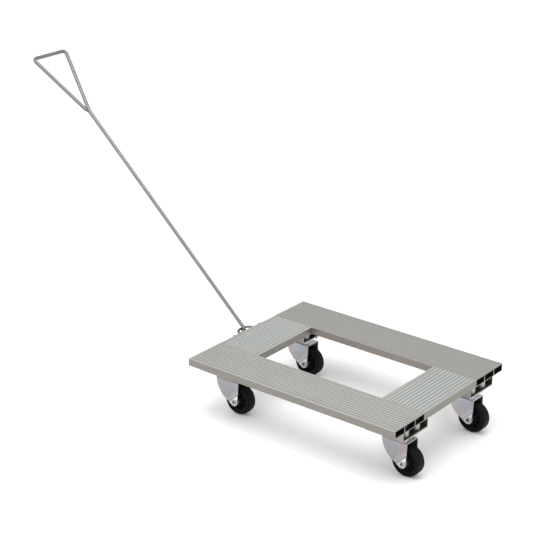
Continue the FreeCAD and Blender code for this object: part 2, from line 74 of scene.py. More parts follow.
class Nodes:
    """Builds one material's node tree: each call adds a node and returns its output."""

    def __init__(self, name):
        self.material = bpy.data.materials.new(name)
        self.material.use_nodes = True
        self.tree = self.material.node_tree
        self.shader = self.tree.nodes["Principled BSDF"]
        self.coordinates = self.add("ShaderNodeTexCoord")
        self.position = self.coordinates.outputs["Object"]

    def add(self, kind, **settings):
        node = self.tree.nodes.new(kind)
        for key, value in settings.items():
            setattr(node, key, value)
        return node

    def link(self, source, socket):
        if isinstance(source, (int, float, tuple, list)):
            socket.default_value = source
        else:
            self.tree.links.new(source, socket)

    def math(self, operation, a, b=0.0):
        node = self.add("ShaderNodeMath", operation=operation)
        self.link(a, node.inputs[0])
        self.link(b, node.inputs[1])
        return node.outputs[0]

    def product(self, *values):
        result = values[0]
        for value in values[1:]:
            result = self.math("MULTIPLY", result, value)
        return result

    def rising(self, value, slope_highlight, start):
        """start + slope * value"""
        return self.math("ADD", self.product(value, slope_highlight), start)

    def falling(self, value, slope_highlight, start):
        """start - slope * value"""
        return self.math("SUBTRACT", start, self.product(value, slope_highlight))

    def axis(self, name, source=None):
        split = self.add("ShaderNodeSeparateXYZ")
        self.link(source or self.position, split.inputs[0])
        return split.outputs[name]

    def facing(self, name):
        """1 where the face looks along that axis, either way, and 0 where it is square to it."""
        part = self.axis(name, self.coordinates.outputs["Normal"])
        return self.ramp(self.math("ABSOLUTE", part), FACING_LOW, FACING_HIGH)

    def scaled(self, scale, offset=(0, 0, 0)):
        """The position times the scale, which is one number or one for each axis."""
        node = self.add("ShaderNodeMapping")
        self.link(self.position, node.inputs["Vector"])
        node.inputs["Scale"].default_value = scale if isinstance(scale, tuple) else (scale,) * 3
        node.inputs["Location"].default_value = offset
        return node.outputs[0]

    def noise(self, scale, detail, rough, offset=(0, 0, 0)):
        """Fractal noise from 0 to 1. scale is per metre."""
        node = self.add("ShaderNodeTexNoise")
        self.link(self.scaled(scale, offset), node.inputs["Vector"])
        node.inputs["Scale"].default_value = 1.0
        node.inputs["Detail"].default_value = detail
        node.inputs["Roughness"].default_value = rough
        return node.outputs["Fac"]

    def ramp(self, fac, low, high, out_low=0.0, out_high=1.0):
        node = self.add("ShaderNodeMapRange")
        self.link(fac, node.inputs["Value"])
        for socket, value in zip(("From Min", "From Max", "To Min", "To Max"),
                                 (low, high, out_low, out_high)):
            self.link(value, node.inputs[socket])
        return node.outputs[0]

    def mix(self, fac, a, b):
        node = self.add("ShaderNodeMix", data_type="RGBA")
        self.link(fac, node.inputs[0])
        self.link(a, node.inputs[6])
        self.link(b, node.inputs[7])
        return node.outputs[2]

    def inside(self, value, low, high, soft):
        """1 where value lies between low and high, fading over soft."""
        above = self.ramp(value, low - soft, low + soft)
        below = self.ramp(value, high - soft, high + soft, 1.0, 0.0)
        return self.product(above, below)

    def edge_wear(self, radius):
        """0 on flat faces, rising on sharp outer edges."""
        bevel = self.add("ShaderNodeBevel", samples=4)
        bevel.inputs["Radius"].default_value = radius
        geometry = self.add("ShaderNodeNewGeometry")
        dot = self.add("ShaderNodeVectorMath", operation="DOT_PRODUCT")
        self.link(bevel.outputs[0], dot.inputs[0])
        self.link(geometry.outputs["Normal"], dot.inputs[1])
        return self.ramp(dot.outputs["Value"], 1.0, 0.8)

    def bump(self, height, strength):
        node = self.add("ShaderNodeBump")
        node.inputs["Strength"].default_value = strength
        node.inputs["Distance"].default_value = BUMP_DEPTH
        self.link(height, node.inputs["Height"])
        self.link(node.outputs[0], self.shader.inputs["Normal"])

    def finish(self, colour, rough, metallic, specular=None):
        self.link(colour, self.shader.inputs["Base Color"])
        self.link(rough, self.shader.inputs["Roughness"])
        self.link(metallic, self.shader.inputs["Metallic"])
        if specular is not None:
            self.link(specular, self.shader.inputs["Specular IOR Level"])
        return self.material


def shade(colour, factor):
    return (*[c * factor for c in colour[:3]], 1)


# ---- aluminium ------------------------------------------------------------------------------
ALUMINIUM_METALLIC = 0.8
SPECULAR = 0.5
# each board's top and side tones are painted light and shade: the sides darker and browner than
# the tops, the rear top darker, the cross tops a little lighter and the rear sides lighter than
# the other sides
TOP_FRONT = ((0.360, 0.369, 0.352, 1), (0.495, 0.506, 0.487, 1))
TOP_CROSS = ((0.375, 0.390, 0.375, 1), (0.520, 0.540, 0.523, 1))
TOP_REAR = ((0.300, 0.297, 0.284, 1), (0.352, 0.346, 0.332, 1))
SIDE_SHADE_TONES = ((0.205, 0.192, 0.168, 1), (0.262, 0.248, 0.222, 1))
REAR_SIDE_SHADE_TONES = ((0.244, 0.212, 0.192, 1), (0.312, 0.275, 0.254, 1))
# painted shade in the grooves of the front and cross boards; on the rear board the grooves are
# painted a little lighter, as painted light against the shading of their slopes
GROOVE_SHADE_FRONT, GROOVE_SHADE_CROSS, GROOVE_SHADE_REAR = 0.60, 0.74, 1.06

GROOVE_PITCH = 10.0 * MM
GROOVE_HALF = 1.0 * MM
CROSS_GROOVE_HALF = 0.8 * MM
GROOVE_FADE = 0.5 * MM
GROOVES_HALF_WIDTH = 52.0 * MM
GROOVES_FADE = 0.2 * MM
GROOVED_SKIN, GROOVED_SKIN_FULL = 0.9 * MM, 0.7 * MM   # depth below the deck's top
STRIP_TINT = 0.6                  # how far the plain strips beside the grooves turn browner

# a cell's walls, as the shading sees them: what lies further in is in the dark and painted black
# as painted shade
CELL_FLOOR = 1.2 * MM
CELL_ROOF = 1.6 * MM
CELL_SIDE = 3.3 * MM
CELL_MOUTH = 0.25 * MM
CELL_FADE, MOUTH_FADE = 0.1 * MM, 0.15 * MM
CELL_SHADE_BLACK = (0.006, 0.008, 0.008, 1)

RISER_TONES = ((0.26, 0.255, 0.235, 1), (0.36, 0.355, 0.335, 1))
# inside the box section: a green tint, painted dark as painted shade
RISER_GREEN_SHADE_TONES = ((0.008, 0.024, 0.015, 1), (0.024, 0.058, 0.038, 1))
RISER_WEAR = (0.55, 0.54, 0.52, 1)
RISER_WEAR_RADIUS = 0.6 * MM
RISER_WALL = 2.9 * MM
RISER_MOUTH = 0.3 * MM
RISER_FADE = 0.1 * MM


def extruded_aluminium(node, along, tones, groove_shade, groove_half=GROOVE_HALF,
                       side_shade_tones=SIDE_SHADE_TONES):
    """Mill-finish extrusion with die lines and grooves, painted with light and shade: a lighter
    top, darker and browner sides, grooves toned apart and black painted shade in the cells.
    """
    low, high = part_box(node)
    n = Nodes(node + "_metal")
    across = "Y" if along == "X" else "X"
    a, l = "XY".index(across), "XY".index(along)

    def stretched(long_scale, cross_scale):
        scale = [cross_scale] * 3
        scale[l] = long_scale
        return tuple(scale)

    lines = n.noise(stretched(0.6, 260.0), 3.0, 0.55)
    broad = n.noise(stretched(1.5, 45.0), 3.0, 0.55)
    smudge = n.noise(7.0, 4.0, 0.6)
    grain = n.noise(stretched(30.0, 900.0), 2.0, 0.5)
    tone = n.rising(lines, 0.35, n.product(broad, 0.65))
    upward = n.facing("Z")
    # painted shade: faces that do not look up take the darker side tones
    metal = n.mix(upward, n.mix(tone, *side_shade_tones), n.mix(tone, *tones))
    metal = n.mix(n.ramp(smudge, 0.50, 0.75, 0.0, 0.30), metal, shade(tones[0], 0.82))
    metal = n.mix(n.product(grain, 0.12), metal, shade(tones[0], 0.6))

    place = n.axis(across)
    centred = n.math("SUBTRACT", place, (low[a] + high[a]) / 2)
    off_middle = n.math("ABSOLUTE", centred)
    step = n.math("DIVIDE", centred, GROOVE_PITCH)
    from_groove = n.math("SUBTRACT", step, n.math("ROUND", step))
    distance = n.product(n.math("ABSOLUTE", from_groove), GROOVE_PITCH)
    height = n.axis("Z")
    groove = n.product(
        n.ramp(distance, groove_half, groove_half + GROOVE_FADE, 1.0, 0.0),
        n.ramp(off_middle, GROOVES_HALF_WIDTH, GROOVES_HALF_WIDTH + GROOVES_FADE, 1.0, 0.0),
        n.ramp(height, DECK_TOP - GROOVED_SKIN, DECK_TOP - GROOVED_SKIN_FULL))
    beside = n.ramp(off_middle, GROOVES_HALF_WIDTH, GROOVES_HALF_WIDTH + GROOVE_FADE)
    browner = (tones[0][0] * 1.05, tones[0][1], tones[0][2] * 0.95)
    metal = n.mix(n.product(beside, upward, STRIP_TINT), metal, shade(browner, 0.95))
    # grooves toned darker, and lighter on the rear board, as painted shade and painted light
    metal = n.mix(groove, metal, shade(tones[0], groove_shade))

    # painted shade: inside the cells black, rougher, not metallic and with little sheen
    cell = n.product(
        n.inside(height, DECK_BOTTOM + CELL_FLOOR, DECK_TOP - CELL_ROOF, CELL_FADE),
        n.inside(place, low[a] + CELL_SIDE, high[a] - CELL_SIDE, CELL_FADE),
        n.inside(n.axis(along), low[l] + CELL_MOUTH, high[l] - CELL_MOUTH, MOUTH_FADE))
    rough = n.math("ADD", n.rising(tone, 0.14, 0.40), n.product(cell, 0.4))
    n.bump(lines, 0.12)
    return n.finish(n.mix(cell, metal, CELL_SHADE_BLACK), rough,
                    n.falling(cell, ALUMINIUM_METALLIC, ALUMINIUM_METALLIC),
                    n.falling(cell, 0.42, SPECULAR))


def riser_metal(corner):
    """Mill-finish box section, green inside and painted dark there as painted shade."""
    low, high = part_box("riser_" + corner)
    n = Nodes("riser_" + corner + "_metal")
    lines = n.noise((1.0, 300.0, 300.0), 4.0, 0.6)
    metal = n.mix(lines, *RISER_TONES)
    metal = n.mix(n.product(n.edge_wear(RISER_WEAR_RADIUS), 0.5), metal, RISER_WEAR)
    # painted shade: the inside dark green, not metallic and with less sheen
    inner = n.product(
        n.inside(n.axis("Z"), low.z + RISER_WALL, high.z - RISER_WALL, RISER_FADE),
        n.inside(n.axis("Y"), low.y + RISER_WALL, high.y - RISER_WALL, RISER_FADE),
        n.inside(n.axis("X"), low.x + RISER_MOUTH, high.x - RISER_MOUTH, RISER_FADE))
    green_shade = n.mix(n.noise(60.0, 3.0, 0.5), *RISER_GREEN_SHADE_TONES)
    n.bump(lines, 0.15)
    return n.finish(n.mix(inner, metal, green_shade), n.rising(lines, 0.15, 0.40),
                    n.falling(inner, ALUMINIUM_METALLIC, ALUMINIUM_METALLIC),
                    n.falling(inner, 0.3, SPECULAR))


# ---- steel ----------------------------------------------------------------------------------
PLATE_TINT = (0.33, 0.322, 0.320)
FASTENER_TINT = (0.55, 0.54, 0.54)
SLEEVE_TINT = (0.40, 0.378, 0.358)
# the rear forks' base tones are lighter, to make up for the light that reaches each corner
FORK_TINTS = {"front_left": (0.318, 0.309, 0.303), "front_right": (0.322, 0.311, 0.300),
              "rear_left": (0.418, 0.408, 0.392), "rear_right": (0.505, 0.502, 0.512)}
PLATE_ROUGH, FASTENER_ROUGH, SLEEVE_ROUGH = 0.34, 0.36, 0.44
ZINC_WEAR_RADIUS = 0.5 * MM

STEP_ANGLE = math.radians(43.0)
STEP_ABOVE_AXLE = 8.8 * MM
CROWN_ABOVE_AXLE = 53.3 * MM
# painted light on the pad and a painted highlight on the slope under the step's bend
PAD_LIGHT = (0.556, 0.500, 0.484, 1)
SLOPE_HIGHLIGHT = (0.72, 0.83, 0.90, 1)

AXLE_TONES = ((0.34, 0.34, 0.35, 1), (0.46, 0.46, 0.47, 1))
AXLE_RECESS = 3.0 * MM
AXLE_HOLE_SHADE = (0.004, 0.004, 0.004, 1)

BAIL_LIGHT, BAIL_DARK = (0.26, 0.26, 0.248), (0.145, 0.145, 0.138)
HANDLE_LIGHT, HANDLE_DARK = (0.285, 0.285, 0.272), (0.180, 0.180, 0.170)


def from_step(millimetres):
    """A height on the scale that pressed_step measures by, from the bend of the step."""
    return STEP_ABOVE_AXLE + millimetres * MM


def pressed_step(n, base, tint, axle, crown_top):
    """Paints light and shade on a fork by place: a lighter foot and pad as painted light, a
    painted highlight on the slope, painted light on the crown top and a dark crease at the bend
    as painted shade.
    """
    rise = n.math("SUBTRACT", n.axis("Z"), axle.z)
    forward = n.math("SUBTRACT", n.axis("X"), axle.x)
    above = n.math("SUBTRACT", n.product(rise, math.cos(STEP_ANGLE)),
                   n.product(forward, math.sin(STEP_ANGLE)))
    # painted light: lighter and warmer just above the bend, fading upwards
    foot = n.ramp(above, from_step(1.0), from_step(15.0), 0.7, 0.0)
    base = n.mix(foot, base, shade((tint[0] * 1.08, tint[1], tint[2]), 1.38))
    # painted light: the pad lighter
    pad_light = n.ramp(above, from_step(-0.3), from_step(-1.2))
    base = n.mix(n.product(pad_light, 0.75), base, PAD_LIGHT)
    # painted highlight: a bright bluish band on the slope
    slope_highlight = n.inside(above, from_step(-9.0), from_step(-0.7), 0.8 * MM)
    ahead = n.ramp(forward, -12.0 * MM, -2.0 * MM)
    base = n.mix(n.product(slope_highlight, ahead, 0.9), base, SLOPE_HIGHLIGHT)
    # painted shade: a dark line along the bend
    crease_shade = n.inside(above, from_step(-0.5), from_step(0.8), 0.3 * MM)
    base = n.mix(n.product(crease_shade, 0.85), base, shade(tint, 0.30))
    # painted light: the crown's top lighter, where the plate above shades it
    topmost = n.ramp(n.axis("Z"), crown_top - 1.0 * MM, crown_top - 0.5 * MM)
    crown_light = n.product(n.facing("Z"), topmost)
    return n.mix(crown_light, base, shade((tint[0] * 1.04, tint[1], tint[2]), 2.3))


def zinc(name, tint, rough=PLATE_ROUGH, step=None):
    """Bright zinc plate: a crystalline mottle, faint blue and pink tints, worn edges."""
    n = Nodes(name)
    cells = n.add("ShaderNodeTexVoronoi")
    n.link(n.scaled(160.0), cells.inputs["Vector"])
    cells.inputs["Scale"].default_value = 1.0
    crystal = n.add("ShaderNodeSeparateColor")
    n.link(cells.outputs["Color"], crystal.inputs[0])
    cloud = n.noise((60.0, 60.0, 18.0), 4.0, 0.6)
    pink = n.noise((55.0, 55.0, 20.0), 3.0, 0.55, (7.0, 3.0, 1.0))
    blue = n.noise((55.0, 55.0, 20.0), 3.0, 0.55, (2.0, 9.0, 4.0))
    r, g, b = tint
    base = n.mix(cloud, shade(tint, 0.70), shade(tint, 1.28))
    base = n.mix(n.ramp(pink, 0.46, 0.66, 0.0, 0.7), base, (r * 1.16, g * 0.93, b * 0.95, 1))
    base = n.mix(n.ramp(blue, 0.46, 0.66, 0.0, 0.7), base, (r * 0.90, g * 0.98, b * 1.26, 1))
    base = n.mix(n.product(crystal.outputs[0], 0.16), base, shade(tint, 0.66))
    # on a fork: painted light and shade about the pressed step
    if step is not None:
        base = pressed_step(n, base, tint, *step)
    base = n.mix(n.product(n.edge_wear(ZINC_WEAR_RADIUS), 0.35), base, shade(tint, 1.7))
    n.bump(n.noise(400.0, 3.0, 0.5), 0.10)
    return n.finish(base, n.rising(cloud, 0.16, rough - 0.06), 1.0)


def hollow_axle(corner, axle):
    """Bright steel, painted black down the hole in the axle's head as painted shade."""
    n = Nodes("axle_steel_" + corner)
    cloud = n.noise(300.0, 3.0, 0.55)
    steel = n.mix(cloud, *AXLE_TONES)
    rise = n.math("SUBTRACT", n.axis("Z"), axle.z)
    forward = n.math("SUBTRACT", n.axis("X"), axle.x)
    off_axis = n.math("SQRT", n.math("ADD", n.product(rise, rise), n.product(forward, forward)))
    # painted shade: black and not metallic down the hole
    hole_shade = n.product(n.ramp(off_axis, AXLE_RECESS, AXLE_RECESS + 0.1 * MM, 1.0, 0.0),
                     n.ramp(n.axis("Y"), axle.y, axle.y - 5.0 * MM))
    n.bump(cloud, 0.1)
    return n.finish(n.mix(hole_shade, steel, AXLE_HOLE_SHADE), n.rising(cloud, 0.2, 0.26),
                    n.math("SUBTRACT", 1.0, hole_shade))


def rod_steel(name, light, dark):
    """Drawn round bar: fine scratches, patches of dull oxide."""
    n = Nodes(name)
    scratch = n.noise((300.0, 1500.0, 300.0), 4.0, 0.6)
    patch = n.noise(35.0, 4.0, 0.6)
    colour = n.mix(patch, (*dark, 1), (*light, 1))
    colour = n.mix(n.product(scratch, 0.25), colour, shade(dark, 0.6))
    n.bump(scratch, 0.12)
    return n.finish(colour, n.rising(patch, 0.2, 0.30), 1.0)


# ---- rubber, plastic and paint --------------------------------------------------------------
RUBBER_TONES = ((0.0021, 0.0021, 0.0023, 1), (0.0066, 0.0063, 0.0064, 1))
RUBBER_SCUFF = (0.012, 0.0116, 0.0112, 1)
CORE_COLOUR, CORE_ROUGH, CORE_GLOSS = (0.0055, 0.0055, 0.006), 0.48, 0.12
BUSH_COLOUR, BUSH_ROUGH, BUSH_GLOSS = (0.30, 0.29, 0.26), 0.45, 0.4
FLOOR_TONES = ((0.94, 0.94, 0.94, 1), (0.96, 0.96, 0.96, 1))


def rubber(name):
    """Black tyre rubber: a thin dusty bloom, scuffs and a fine grain."""
    n = Nodes(name)
    dust = n.noise(55.0, 5.0, 0.6)
    scuff = n.noise((160.0, 320.0, 160.0), 3.0, 0.6)
    colour = n.mix(n.ramp(dust, 0.45, 0.8, 0.0, 0.7), *RUBBER_TONES)
    colour = n.mix(n.ramp(scuff, 0.62, 0.8, 0.0, 0.5), colour, RUBBER_SCUFF)
    n.bump(n.noise(1300.0, 2.0, 0.5), 0.2)
    return n.finish(colour, n.rising(dust, 0.2, 0.46), 0.0, 0.10)


def plastic(name, colour, rough, gloss):
    """Moulded plastic with a fine spark-eroded texture and slight colour drift."""
    n = Nodes(name)
    drift = n.noise(40.0, 3.0, 0.5)
    n.bump(n.noise(900.0, 3.0, 0.5), 0.2)
    return n.finish(n.mix(drift, shade(colour, 0.75), shade(colour, 1.3)),
                    n.rising(drift, 0.15, rough), 0.0, gloss)


def floor_paint():
    """Pale matt floor with a hint of mottle."""
    n = Nodes("floor_paint")
    return n.finish(n.mix(n.noise(4.0, 4.0, 0.5), *FLOOR_TONES), 0.8, 0.0)


# ---- mesh helpers ---------------------------------------------------------------------------
SMOOTH_ANGLE = math.radians(32)


def add_object(name, data):
    thing = bpy.data.objects.new(name, data)
    bpy.context.scene.collection.objects.link(thing)
    return thing


def piece(name, mesh, body, slot, material, *replaced):
    """Turns a bmesh into a piece that rides on a body and stands for the CAD nodes named."""
    bmesh.ops.recalc_face_normals(mesh, faces=mesh.faces)
    data = bpy.data.meshes.new(name)
    mesh.to_mesh(data)
    mesh.free()
    data.polygons.foreach_set("use_smooth", [True] * len(data.polygons))
    data.set_sharp_from_angle(angle=SMOOTH_ANGLE)
    data.materials.append(material)
    thing = add_object(name, data)
    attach(thing, body)
    if replaced:
        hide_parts(*replaced)


def basis(axis):
    """Two unit vectors square to a unit axis and to each other."""
    side = Vector((0, 0, 1)) if abs(axis.z) < 0.5 else Vector((0, 1, 0))
    return side, axis.cross(side)


def skin(mesh, rings, closed=True):
    """Joins rings of equal vertex counts; closed also joins the last ring to the first."""
    count = len(rings[0])
    rows = [[mesh.verts.new(p) for p in ring] for ring in rings]
    pairs = list(zip(rows, rows[1:] + rows[:1])) if closed else list(zip(rows, rows[1:]))
    for one, two in pairs:
        for i in range(count):
            mesh.faces.new((one[i], one[(i + 1) % count], two[(i + 1) % count], two[i]))
    if not closed:
        mesh.faces.new(rows[0][::-1])
        mesh.faces.new(rows[-1])


def circle(centre, axis, radius, count):
    """Ring of points; radius may be a function of the angle."""
    side, other = basis(axis)
    points = []
    for i in range(count):
        angle = 2 * math.pi * i / count
        r = radius(angle) if callable(radius) else radius
        points.append(centre + (side * math.cos(angle) + other * math.sin(angle)) * r)
    return points


def lathe(mesh, centre, axis, outline, count):
    """Turns a closed outline of (radius, distance along the axis) points about the axis."""
    skin(mesh, [circle(centre + axis * d, axis, r, count) for r, d in outline])


def arc(centre_r, centre_d, radius, start, end, steps):
    """Outline points on an arc, angles in degrees from the radial direction."""
    points = []
    for i in range(steps + 1):
        angle = math.radians(start + (end - start) * i / steps)
        points.append((centre_r + radius * math.cos(angle), centre_d + radius * math.sin(angle)))
    return points


# ---- fasteners ------------------------------------------------------------------------------
HEX_COUNT = 48
HEX_FACE = 0.95                   # radius of a head's round face, as a share of half its flats
CHAMFER_SLOPE = math.tan(math.radians(30))
CHAMFER_STEPS = 3
COUNTERSINK = 0.5 * MM
THREAD_PITCH = 1.41 * MM
THREAD_DEPTH = 0.30 * MM
CREST_TO_ROOT = 1.4               # of the thread's depth
POINT_TAPER = 1.2                 # of the crest's height above the root
STEPS_PER_TURN = 4
SHANK_COUNT = 24
BOLT_RADIUS = 3.97 * MM
BOLT_FLATS = 12.7 * MM
BOLT_HEAD = 5.3 * MM
THREAD_RADII = 5.0                # length of a thread, in radii of its bolt
SMALL_PITCH = 1.0 * MM
SMALL_RADIUS = 3.0 * MM
SMALL_FLATS = 10.0 * MM
SMALL_HEAD = 4.0 * MM
SMALL_THREAD = 8.0 * MM
WASHER_BORE = 4.3 * MM
WASHER_ROUND = 0.25 * MM
WASHER_COUNT = 40
SAME_POINT = 0.001 * MM


def hex_rings(start, axis, flats, height, both_ends):
    """Rings of a hexagonal head whose corners are cut by a 30 degree cone at its ends."""
    inner = flats / 2 * HEX_FACE
    corner = flats / math.sqrt(3)
    cut = (corner - inner) * CHAMFER_SLOPE

    def ring(z):
        depth = height - z
        if both_ends:
            depth = min(depth, z)
        limit = inner + depth / CHAMFER_SLOPE

        def radius(angle):
            wedge = angle % (math.pi / 3) - math.pi / 6
            return min(flats / 2 / math.cos(wedge), limit)

        return circle(start + axis * z, axis, radius, HEX_COUNT)

    steps = range(CHAMFER_STEPS + 1)
    foot = [cut * i / CHAMFER_STEPS for i in steps] if both_ends else [0.0]
    return [ring(z) for z in foot + [height - cut * i / CHAMFER_STEPS for i in reversed(steps)]]


def hex_nut(mesh, start, axis, flats, height, bore):
    """Nut with chamfered corners at both ends and a countersunk bore."""
    rings = hex_rings(start, axis, flats, height, True)
    wide = bore + COUNTERSINK
    for r, z in ((wide, height), (bore, height - COUNTERSINK), (bore, COUNTERSINK), (wide, 0.0)):
        rings.append(circle(start + axis * z, axis, r, HEX_COUNT))
    skin(mesh, rings)


def threaded_end(mesh, start, axis, length, radius, pitch):
    """A bolt's threaded end from the start, tapering off at its point."""
    depth = pitch * THREAD_DEPTH / THREAD_PITCH * CREST_TO_ROOT
    step = pitch / STEPS_PER_TURN
    levels = int(length / step)
    point = POINT_TAPER * depth
    rings = []
    for k in range(levels + 1):
        z = length * k / levels

        def thread(angle, z=z):
            phase = (z / pitch - angle / (2 * math.pi)) % 1.0
            crest = abs(2 * phase - 1)
            return min(radius - depth * crest, radius - depth - point / 2 + max(length - z, 0.0))

        rings.append(circle(start + axis * z, axis, thread, SHANK_COUNT))
    skin(mesh, rings, closed=False)


def hex_bolt(mesh, seat, axis, end, radius, flats, head, pitch, thread):
    """Bolt whose head stands on the seat along the axis; its shank runs the other way to end."""
    skin(mesh, hex_rings(seat, axis, flats, head, False), closed=False)
    shank = (seat - end).length - thread
    skin(mesh, [circle(seat - axis * z, axis, radius, SHANK_COUNT) for z in (0.0, shank)],
         closed=False)
    threaded_end(mesh, seat - axis * shank, -axis, thread, radius, pitch)


def solids(node):
    """Lowest and highest corners of each separate solid in a CAD node."""
    mesh = bmesh.new()
    mesh.from_mesh(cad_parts[node].data)
    bmesh.ops.remove_doubles(mesh, verts=mesh.verts, dist=SAME_POINT)
    seen, found = set(), []
    for vertex in mesh.verts:
        if vertex in seen:
            continue
        stack, part = [vertex], []
        seen.add(vertex)
        while stack:
            v = stack.pop()
            part.append(v.co.copy())
            for edge in v.link_edges:
                other = edge.other_vert(v)
                if other not in seen:
                    seen.add(other)
                    stack.append(other)
        low = Vector([min(p[i] for p in part) for i in range(3)])
        high = Vector([max(p[i] for p in part) for i in range(3)])
        found.append((low, high))
    mesh.free()
    return found


def make_upright_fasteners(steel):
    """The bolts and nuts that stand upright: the casters' and the cross boards'."""
    jobs = (("caster_bolts", "caster_nuts", BOLT_RADIUS, BOLT_FLATS, BOLT_HEAD, THREAD_PITCH),
            ("board_bolts", "board_nuts", SMALL_RADIUS, SMALL_FLATS, SMALL_HEAD, SMALL_PITCH))
    for bolts, nuts, radius, flats, head, pitch in jobs:
        mesh = bmesh.new()
        for low, high in solids(bolts):
            x, y = (low.x + high.x) / 2, (low.y + high.y) / 2
            seat, end = Vector((x, y, high.z - head)), Vector((x, y, low.z))
            hex_bolt(mesh, seat, Z_UP, end, radius, flats, head, pitch, THREAD_RADII * radius)
        piece(bolts + "_threaded", mesh, "deck", "zinc_steel", steel, bolts)
        mesh = bmesh.new()
        for low, high in solids(nuts):
            start = Vector(((low.x + high.x) / 2, (low.y + high.y) / 2, low.z))
            hex_nut(mesh, start, Z_UP, flats, high.z - low.z, radius)
        piece(nuts + "_chamfered", mesh, "deck", "zinc_steel", steel, nuts)


def make_bail_fasteners(steel, dull_steel):
    """The bolts and nuts that hold the bail's plate to the deck's left end."""
    mesh = bmesh.new()
    for low, high in solids("bail_bolts"):
        y, z = (low.y + high.y) / 2, (low.z + high.z) / 2
        seat = Vector((low.x + SMALL_HEAD, y, z))
        hex_bolt(mesh, seat, X_OUT, Vector((high.x, y, z)), SMALL_RADIUS, SMALL_FLATS, SMALL_HEAD,
                 SMALL_PITCH, SMALL_THREAD)
    piece("bail_bolts_threaded", mesh, "deck", "zinc_steel", dull_steel, "bail_bolts")
    mesh = bmesh.new()
    for low, high in solids("bail_nuts"):
        start = Vector((high.x, (low.y + high.y) / 2, (low.z + high.z) / 2))
        hex_nut(mesh, start, X_OUT, SMALL_FLATS, high.x - low.x, SMALL_RADIUS)
    piece("bail_nuts_chamfered", mesh, "deck", "zinc_steel", steel, "bail_nuts")


def make_washers(steel):
    mesh = bmesh.new()
    for low, high in solids("caster_washers"):
        start = Vector(((low.x + high.x) / 2, (low.y + high.y) / 2, low.z))
        outer, thick = (high.x - low.x) / 2, high.z - low.z
        face, edge = outer - WASHER_ROUND, thick - WASHER_ROUND
        outline = [(WASHER_BORE, 0), (face, 0), (outer, WASHER_ROUND), (outer, edge),
                   (face, thick), (WASHER_BORE, thick)]
        lathe(mesh, start, Z_UP, outline, WASHER_COUNT)
    piece("caster_washers_stamped", mesh, "deck", "zinc_steel", steel, "caster_washers")


# ---- wheels ---------------------------------------------------------------------------------
RIM_RADIUS = 28.0 * MM
RIM_INSET = 3.5 * MM
SHOULDER = 7.0 * MM
SHOULDER_START, SHOULDER_END, SHOULDER_STEPS = 88, 4, 10   # degrees from the radial direction
# the raised ring beside the rim: millimetres out from the rim's radius, and in from the side
SIDEWALL_RING = ((0.9, 2.6), (1.5, 0.9), (2.1, 0.4), (2.9, 0.4))
SEAM_HEIGHT = 0.12 * MM
SEAM_FOOT, SEAM_CREST = 0.45 * MM, 0.2 * MM
TYRE_COUNT = 128
HUB_RADIUS = 13.0 * MM
DISC_HALF = 4.0 * MM
CORE_COUNT = 96
RIB_COUNT = 10
RIB_HALF_INNER, RIB_HALF_OUTER = 1.3 * MM, 0.9 * MM
RIB_CREST = 0.7                   # width of a rib's crest, as a share of its foot


def tyre_outline(radius, half):
    """Closed outline: bore, dished sides with a raised ring, round shoulders, mould seam."""
    side = [(RIM_RADIUS, half - RIM_INSET)]
    side += [(RIM_RADIUS + out * MM, half - inward * MM) for out, inward in SIDEWALL_RING]
    side += arc(radius - SHOULDER, half - SHOULDER, SHOULDER,
                SHOULDER_START, SHOULDER_END, SHOULDER_STEPS)
    tread = [(radius - SEAM_HEIGHT, half - SHOULDER), (radius - SEAM_HEIGHT, SEAM_FOOT),
             (radius, SEAM_CREST)]
    outline = side + tread
    return outline + [(r, -d) for r, d in reversed(outline)]


def core_outline(half, hub_half, bore):
    """Closed outline of the wheel's core: hub, thin disc and flanged rim."""
    hub, disc, rim = HUB_RADIUS, DISC_HALF, half - RIM_INSET
    side = [(bore, hub_half), (hub - 1.0 * MM, hub_half), (hub, hub_half - 1.0 * MM),
            (hub + 1.2 * MM, disc + 1.5 * MM), (hub + 3.0 * MM, disc),
            (RIM_RADIUS - 5.5 * MM, disc), (RIM_RADIUS - 4.0 * MM, disc + 1.5 * MM),
            (RIM_RADIUS - 2.6 * MM, rim - 0.5 * MM), (RIM_RADIUS - 2.0 * MM, rim),
            (RIM_RADIUS, rim)]
    return side + [(r, -d) for r, d in reversed(side)]


def add_ribs(mesh, centre, half):
    """Radial ribs on both faces of the disc, from the hub to the rim."""
    near, far = HUB_RADIUS - 0.5 * MM, RIM_RADIUS - 2.4 * MM
    low = 3.0 * MM
    ends = ((near, half - 2.5 * MM, RIB_HALF_INNER), (far, half - 5.5 * MM, RIB_HALF_OUTER))
    for i in range(RIB_COUNT):
        angle = 2 * math.pi * i / RIB_COUNT
        radial = Vector((math.cos(angle), 0, math.sin(angle)))
        across = Vector((-radial.z, 0, radial.x))
        for side in (-1, 1):
            rings = []
            for r, high, thick in ends:
                rings.append([centre + radial * r + across * t + Y_BACK * side * d
                              for t, d in ((-thick, low), (thick, low), (thick * RIB_CREST, high),
                                           (-thick * RIB_CREST, high))])
            skin(mesh, rings, closed=False)


def make_wheel(corner, tyre_material, core_material):
    body = "wheel_" + corner
    centre = middle("tyre_" + corner)
    half = half_size("tyre_" + corner).y
    radius = half_size("tyre_" + corner).z
    mesh = bmesh.new()
    lathe(mesh, centre, Y_BACK, tyre_outline(radius, half), TYRE_COUNT)
    piece("tyre_moulded_" + corner, mesh, body, "tyre_rubber", tyre_material, "tyre_" + corner)
    hub_half = half_size("wheel_core_" + corner).y
    bore = half_size("wheel_bush_" + corner).z
    mesh = bmesh.new()
    lathe(mesh, centre, Y_BACK, core_outline(half, hub_half, bore), CORE_COUNT)
    add_ribs(mesh, centre, half)
    piece("wheel_core_ribbed_" + corner, mesh, body, "wheel_plastic", core_material,
          "wheel_core_" + corner)


